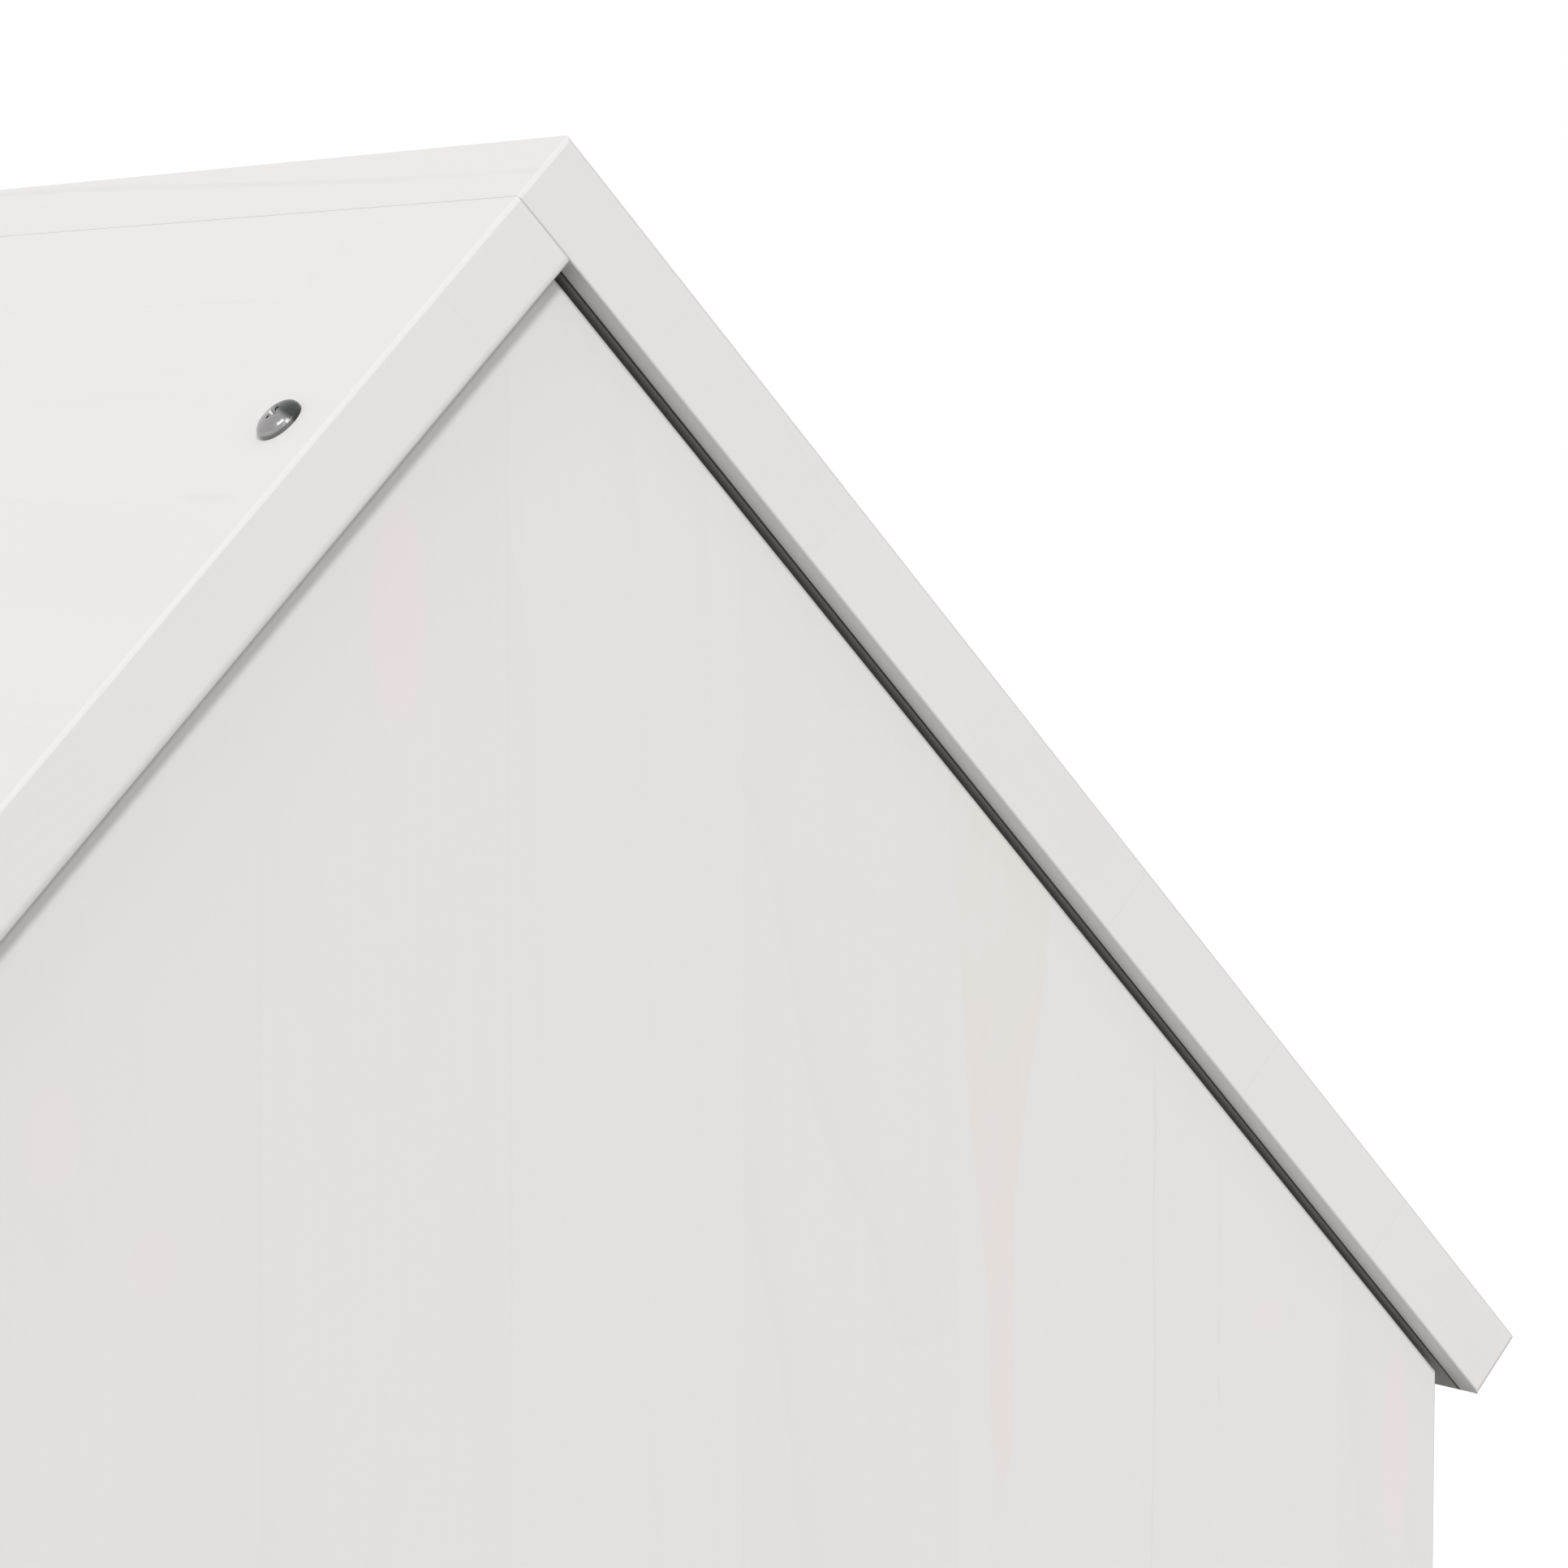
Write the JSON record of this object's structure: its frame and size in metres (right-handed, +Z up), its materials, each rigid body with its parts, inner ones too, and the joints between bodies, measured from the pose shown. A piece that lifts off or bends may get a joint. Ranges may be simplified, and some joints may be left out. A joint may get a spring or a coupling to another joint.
{
  "type": "cat house",
  "caption": "Gabled cat house of painted boards: arched doorway in one gable, floor on bearers, and a screwed 45 degree roof whose one panel laps over the other at the ridge.",
  "frame": {"origin": "on the ground under the middle of the roof", "axes": "+Z up, +Y along the ridge from the gable with the doorway to the rear, +X to the right of someone who faces along +Y"},
  "size_m": [0.4638, 0.5, 0.4344],
  "materials": {
    "wall_paint": "satin white paint on edge-glued pine, grain upright",
    "roof_paint": "satin white paint on edge-glued pine, grain along the ridge",
    "frame_paint": "thin white paint on pine",
    "screw_zinc": "bright zinc plate"
  },
  "bodies": {
    "root": {"front_gable": "wall_paint", "rear_gable": "wall_paint", "left_side_wall": "wall_paint", "right_side_wall": "wall_paint", "left_roof_panel": "roof_paint", "right_roof_panel": "roof_paint", "floor_panel": "frame_paint", "front_bearer": "frame_paint", "middle_bearer": "frame_paint", "rear_bearer": "frame_paint", "front_left_batten": "frame_paint", "front_right_batten": "frame_paint", "rear_left_batten": "frame_paint", "rear_right_batten": "frame_paint", "left_roof_screws": "screw_zinc", "right_roof_screws": "screw_zinc", "ridge_screws": "screw_zinc", "gable_batten_screws": "screw_zinc", "side_batten_screws": "screw_zinc", "floor_screws": "screw_zinc", "bearer_screws": "screw_zinc"}
  },
  "joints": []
}
